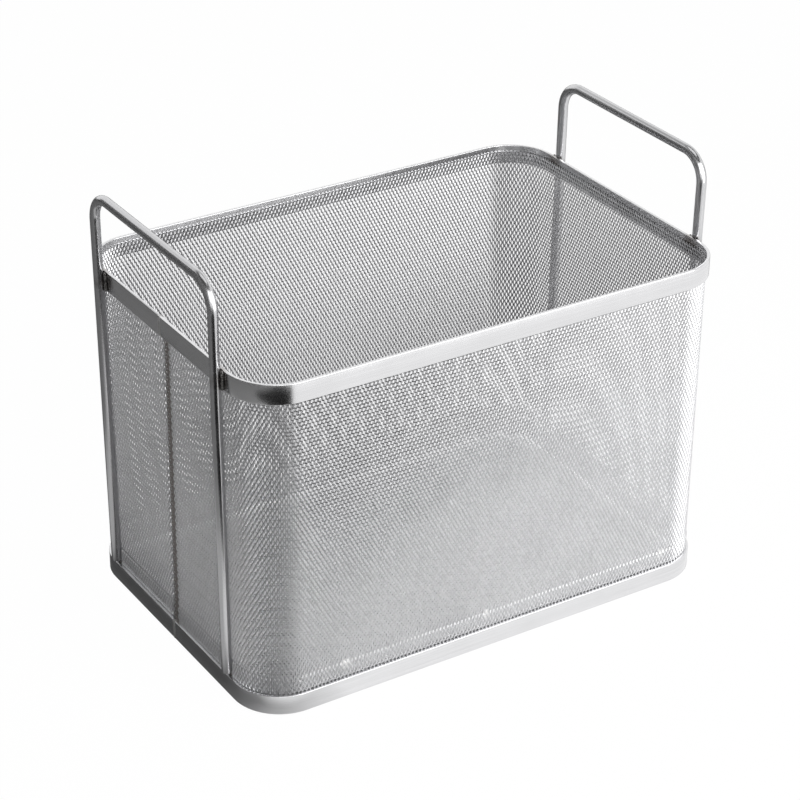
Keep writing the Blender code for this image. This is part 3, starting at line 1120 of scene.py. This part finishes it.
@dataclass(frozen=True)
class FootWelds:
    """The four raw lumps that hold the handles' feet to the base strip's top edge and the wall."""

    sizes: BasketSizes
    roundness: int = 28
    rings: int = 18
    half_sizes: Triple = (0.0011, 0.0030, 0.0027)
    middle_x: float = 0.2089
    middle_z: float = 0.0190
    dent: float = 0.07
    dent_wave_y: Pair = (2300.0, 0.6)
    dent_wave_z: Pair = (2700.0, 1.1)

    def model_lump(self) -> Item:
        """Press a ball into an uneven lump."""
        ball = bpy.ops.mesh.primitive_uv_sphere_add
        start_shape(ball, segments=self.roundness, ring_count=self.rings, radius=1.0)
        bpy.ops.transform.resize(value=self.half_sizes)
        lump = close_edit("foot_lump")
        reshape(lump, self.uneven)
        shade(lump, BEAD_CREASE_ANGLE)
        return lump

    def uneven(self, points: np.ndarray) -> np.ndarray:
        """Pull the lump in a little here and there."""
        (wave_y, shift_y), (wave_z, shift_z) = self.dent_wave_y, self.dent_wave_z
        waves = np.sin(points[:, 1] * wave_y + shift_y) * np.sin(points[:, 2] * wave_z + shift_z)
        return points * (1.0 - self.dent + self.dent * waves)[:, None]

    def build(self) -> list[Item]:
        """Copy the lump behind each foot, every other one turned end for end."""
        model = self.model_lump()
        pieces = []
        for side, leg, leg_y in self.sizes.legs():
            half_turn = Matrix.Rotation(math.pi * (len(pieces) % 2), 4, "X")
            place = Matrix.Translation((side.value * self.middle_x, leg_y, self.middle_z)) @ half_turn
            pieces.append(place_copy(model, f"{leg}_foot_weld", Slot.RAW_WELD, place))
        bpy.data.objects.remove(model)
        return pieces


@dataclass(frozen=True)
class SpotWelds:
    """The six bright patches where the floor tray's edge is spot-welded to the front and rear walls."""

    sizes: BasketSizes
    radius: float = 0.0044
    thickness: float = 0.0012
    roundness: int = 36
    rings: int = 4
    inset: float = 0.0026
    ragged_waves: tuple[Triple, ...] = ((0.10, 3.0, 0.4), (0.06, 7.0, 1.9))
    ring_rise: float = 0.00022
    rim_sink: float = 0.00030
    rim_share: float = 1.0 / 3.0
    turn_each: float = 1.1

    def model_patch(self) -> Item:
        """Shape a disc into an uneven pressed patch lying in XY with its face up."""
        start_disc(self.roundness, self.radius)
        extrude(0.0, 0.0, self.thickness)
        bpy.ops.mesh.select_mode(type="FACE")
        for _ in range(self.rings):
            bpy.ops.mesh.inset(thickness=self.radius / (self.rings + 1.0))
        patch = close_edit("spot_patch")
        reshape(patch, self.pressed)
        shade(patch, PATCH_CREASE_ANGLE)
        return patch

    def pressed(self, points: np.ndarray) -> np.ndarray:
        """Make the outline ragged, raise a ring on the face and let its rim sink."""
        angle = np.arctan2(points[:, 1], points[:, 0])
        reach = np.linalg.norm(points[:, :2], axis=1) / self.radius
        waves = (share * np.sin(turns * angle + shift) for share, turns, shift in self.ragged_waves)
        ragged = 1.0 + sum(waves)
        moved = points.copy()
        moved[:, :2] *= ragged[:, None]
        on_face = points[:, 2] > self.thickness / 2.0
        ring = self.ring_rise * np.sin(2.0 * math.pi * np.clip(reach, 0.0, 1.0))
        sink = self.rim_sink * smooth_rise(1.0 - (1.0 - reach) / self.rim_share)
        moved[:, 2] += np.where(on_face, ring - sink, 0.0)
        return moved

    def build(self) -> list[Item]:
        """Copy the patch onto the solids' six places, each turned its own way."""
        model = self.model_patch()
        pieces = []
        for wall, sign in FRONT_AND_REAR:
            for spot in ("left", "middle", "right"):
                node = f"{wall}_spot_weld_{spot}"
                low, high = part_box(node)
                y = sign * (self.sizes.half_width - self.inset - self.thickness)
                middle = Matrix.Translation(((low[0] + high[0]) / 2.0, y, (low[2] + high[2]) / 2.0))
                spin = Matrix.Rotation(self.turn_each * len(pieces), 4, "Z")
                place = middle @ Matrix.Rotation(-sign * QUARTER, 4, "X") @ spin
                pieces.append(place_copy(model, node, Slot.SPOT_WELD, place))
        bpy.data.objects.remove(model)
        return pieces


@dataclass(frozen=True)
class PhotoView:
    """Where the photograph was taken from, fitted to the basket's straight edges."""

    azimuth: float = -0.56788
    elevation: float = 0.50322
    roll: float = 0.01114
    distance: float = 1.99239
    aside: float = -0.00093
    above: float = 0.00082
    aim_height: float = 0.150
    lens: float = 112.877
    sensor: float = 36.0

    def build(self) -> None:
        """Set the camera up."""
        flat = math.cos(self.elevation)
        back = Vector(
            (math.sin(self.azimuth) * flat, -math.cos(self.azimuth) * flat, math.sin(self.elevation))
        )
        level = Vector((0.0, 0.0, 1.0)).cross(back).normalized()
        upward = back.cross(level)
        right = level * math.cos(self.roll) + upward * math.sin(self.roll)
        up = upward * math.cos(self.roll) - level * math.sin(self.roll)
        data = bpy.data.cameras.new("photo_camera")
        data.lens = self.lens
        data.sensor_width = self.sensor
        camera = bpy.data.objects.new("photo_camera", data)
        aim = Vector((0.0, 0.0, self.aim_height))
        place = aim + right * self.aside + up * self.above + back * self.distance
        turned = Matrix((right, up, back)).transposed().to_4x4()
        camera.matrix_world = Matrix.Translation(place) @ turned
        bpy.context.scene.collection.objects.link(camera)
        bpy.context.scene.camera = camera


def stage_material(name: str) -> tuple[Material, NodeSketch]:
    """Start a stage material with an empty node tree."""
    material = bpy.data.materials.new(name)
    material.use_nodes = True
    material.node_tree.nodes.clear()
    return material, NodeSketch(material.node_tree)


def matt_surface(sketch: NodeSketch, tone: float) -> Socket:
    """Add a matt grey shader."""
    return sketch.add("BsdfDiffuse", {"Color": (tone, tone, tone, 1.0)}).outputs[0]


def glowing_surface(sketch: NodeSketch, strength: float) -> Socket:
    """Add a white shader that gives its own light."""
    return sketch.add("Emission", {"Strength": strength}).outputs[0]


@dataclass(frozen=True)
class SoftLamp:
    """A rectangular soft lamp aimed at the basket."""

    name: str
    place: Triple
    size: Pair
    power: float
    aim: Triple = (0.0, 0.0, 0.14)

    def build(self) -> None:
        """Hang the lamp."""
        data = bpy.data.lights.new(self.name, "AREA")
        data.shape = "RECTANGLE"
        data.size, data.size_y = self.size
        data.energy = self.power
        lamp = bpy.data.objects.new(self.name, data)
        lamp.location = self.place
        heading = Vector(self.aim) - Vector(self.place)
        lamp.rotation_euler = heading.to_track_quat("-Z", "Y").to_euler()
        bpy.context.scene.collection.objects.link(lamp)


@dataclass(frozen=True)
class DarkCard:
    """A dark card beside the camera's view that polished metal reflects, as studios use."""

    name: str
    place: Triple
    size: Pair
    tone: float
    lies_flat: bool = False

    def build(self) -> None:
        """Stand the card up facing the basket, or lay it on the floor."""
        card = start_shape(bpy.ops.mesh.primitive_plane_add, size=1.0)
        card.name = self.name
        bpy.ops.transform.resize(value=(*self.size, 1.0))
        leave_edit()
        card.location = self.place
        if not self.lies_flat:
            heading = Vector((-self.place[0], -self.place[1], 0.0))
            card.rotation_euler = heading.to_track_quat("Z", "Y").to_euler()
        material, sketch = stage_material(self.name)
        sketch.add("OutputMaterial", {"Surface": matt_surface(sketch, self.tone)})
        card.data.materials.append(material)
        card.visible_camera = False
        card.visible_diffuse = False
        card.visible_shadow = False


@dataclass(frozen=True)
class Fade:
    """A change from one value to another along one axis of the floor."""

    axis: str
    zone: Pair
    values: Pair = (1.0, 0.0)


@dataclass(frozen=True)
class Studio:
    """Pale floor, white surroundings, soft lamps and dark cards."""

    floor_size: float = 12.0
    floor_tone: float = 0.33
    white_share: float = 0.95
    white_level: float = 1.04
    mirrored_share: float = 0.90
    mirrored_rest: float = 0.06
    footprint: Pair = (0.205, 0.135)
    footprint_radius: float = 0.035
    footprint_fade: float = 0.01
    footprint_share: float = 0.75
    lit_pools: tuple[tuple[Fade, ...], ...] = (
        (Fade("X", (-0.215, -0.13), (0.0, 1.0)),),
        (Fade("X", (-0.46, -0.42), (0.0, 0.40)), Fade("X", (-0.27, -0.24))),
        (Fade("X", (-0.36, -0.30), (0.0, 0.85)), Fade("Y", (-0.17, -0.13))),
    )
    pool_back: Fade = Fade("Y", (0.15, 0.25))
    end_shade: tuple[Fade, ...] = (
        Fade("X", (-0.26, -0.24), (0.0, 0.50)),
        Fade("X", (-0.205, -0.195)),
        Fade("Y", (-0.135, -0.075), (0.0, 1.0)),
    )
    fill: float = 0.07
    backdrop_top: Pair = (0.57, 0.82)
    lamps: tuple[SoftLamp, ...] = (
        SoftLamp("front_right_softbox", (0.60, -1.28, 0.70), (1.2, 1.3), 14.0),
        SoftLamp("top_lamp", (0.3, 0.2, 2.2), (1.6, 1.2), 6.0),
        SoftLamp("view_lamp", (-0.30, -1.65, 1.40), (1.6, 1.2), 12.0),
    )
    cards: tuple[DarkCard, ...] = (
        DarkCard("left_card", (-1.3, 0.3, 0.9), (3.0, 1.8), 0.40),
        DarkCard("front_left_floor_card", (-0.445, -0.745, 0.002), (0.61, 0.91), 0.015, lies_flat=True),
    )

    def footprint_mask(self, sketch: NodeSketch) -> Socket:
        """1 on the floor under the basket, where it never reads as open background."""
        radius = self.footprint_radius
        folded = sketch.vector("ABSOLUTE", sketch.place()).outputs[0]
        corner = (self.footprint[0] - radius, self.footprint[1] - radius, 0.0)
        past = sketch.vector("MAXIMUM", sketch.vector("SUBTRACT", folded, corner).outputs[0]).outputs[0]
        reach = sketch.vector("LENGTH", past).outputs["Value"]
        return sketch.span(reach, (radius - self.footprint_fade, radius), (1.0, 0.0))

    def lit_pool(self, sketch: NodeSketch) -> Socket:
        """Share of white that metal sees on the floor: full at the front, little behind and on the left."""
        pools = [self.zone(sketch, (*pool, self.pool_back)) for pool in self.lit_pools]
        lit = sketch.chain("MAXIMUM", *pools)
        share = sketch.span(lit, (0.0, 1.0), (self.mirrored_rest, self.mirrored_share))
        open_floor = sketch.span(self.footprint_mask(sketch), (0.0, 1.0), (1.0, self.footprint_share))
        return sketch.math("MULTIPLY", share, open_floor)

    def zone(self, sketch: NodeSketch, fades: tuple[Fade, ...]) -> Socket:
        """A part of the floor that is bounded by fades."""
        axes = sketch.axes(sketch.place())
        masks = [sketch.span(axes[fade.axis], fade.zone, fade.values) for fade in fades]
        return sketch.chain("MULTIPLY", *masks)

    def floor_material(self) -> Material:
        """Pale floor that reads as white and still takes the basket's shadow."""
        material, sketch = stage_material("studio_floor")
        rays = sketch.add("LightPath").outputs
        direct = sketch.math("MAXIMUM", rays["Is Camera Ray"], rays["Is Transmission Ray"])
        open_floor = sketch.math("SUBTRACT", 1.0, self.footprint_mask(sketch))
        straight = sketch.chain("MULTIPLY", direct, open_floor, self.white_share)
        mirrored = sketch.math("MULTIPLY", rays["Is Glossy Ray"], self.lit_pool(sketch))
        white = sketch.math("MAXIMUM", straight, mirrored)
        matt = matt_surface(sketch, self.floor_tone)
        pale = sketch.cover(white, matt, glowing_surface(sketch, self.white_level))
        shadow = sketch.math("MULTIPLY", rays["Is Glossy Ray"], self.zone(sketch, self.end_shade))
        surface = sketch.cover(shadow, pale, glowing_surface(sketch, 0.0))
        sketch.add("OutputMaterial", {"Surface": surface})
        return material

    def light_world(self) -> None:
        """Give the sky its white backdrop for camera and mirror rays, and a low fill for the rest."""
        world = bpy.data.worlds.new("studio_world")
        world.use_nodes = True
        sketch = NodeSketch(world.node_tree)
        rays = sketch.add("LightPath").outputs
        height = sketch.axes(sketch.add("TexCoord").outputs["Generated"])["Z"]
        backdrop = sketch.span(height, self.backdrop_top, (1.0, 0.0))
        mirrored = sketch.math("MULTIPLY", rays["Is Glossy Ray"], backdrop)
        seen = sketch.chain("MAXIMUM", rays["Is Camera Ray"], mirrored, rays["Is Transmission Ray"])
        strength = sketch.span(seen, (0.0, 1.0), (self.fill, 1.0))
        background = world.node_tree.nodes["Background"]
        sketch.feed(background, {"Color": (1.0, 1.0, 1.0, 1.0), "Strength": strength})
        bpy.context.scene.world = world

    def build(self) -> None:
        """Lay the floor, light the world, hang the lamps and stand the cards."""
        floor = start_shape(bpy.ops.mesh.primitive_plane_add, size=self.floor_size)
        leave_edit()
        floor.name = "studio_floor"
        floor.data.materials.append(self.floor_material())
        self.light_world()
        for part in (*self.lamps, *self.cards):
            part.build()


def main() -> None:
    """Build every sub-assembly in order, then the studio and the camera."""
    logging.basicConfig(level=logging.INFO, format="%(name)s: %(message)s")
    bpy.context.scene.view_settings.view_transform = "Standard"
    sizes = BasketSizes()
    lattice = Lattice()
    effects = SharedEffects(sizes)
    for slot, look in FINISHES.items():
        MATERIALS[slot] = look.build(effects)
    pieces = WallSheet(sizes, lattice).build()
    pieces += FloorTray(sizes, lattice).build()
    strips = (("rim", sizes.rim_bottom, sizes.rim_seam_y), ("base", 0.0, sizes.base_seam_y))
    for band, bottom, seam_y in strips:
        seam = GroundSeam(sizes, f"{band}_butt_weld", bottom, seam_y)
        pieces += [StripBand(sizes, f"{band}_band", seam).build(), seam.build()]
    pieces += [Handle(sizes, side).build() for side in Side]
    for welds in (RimBeads(sizes), FootWelds(sizes), SpotWelds(sizes)):
        pieces += welds.build()
    for piece in pieces:
        LOG.info("%s has %d faces", piece.name, len(piece.data.polygons))
    Studio().build()
    PhotoView().build()


if __name__ == "__main__":
    main()
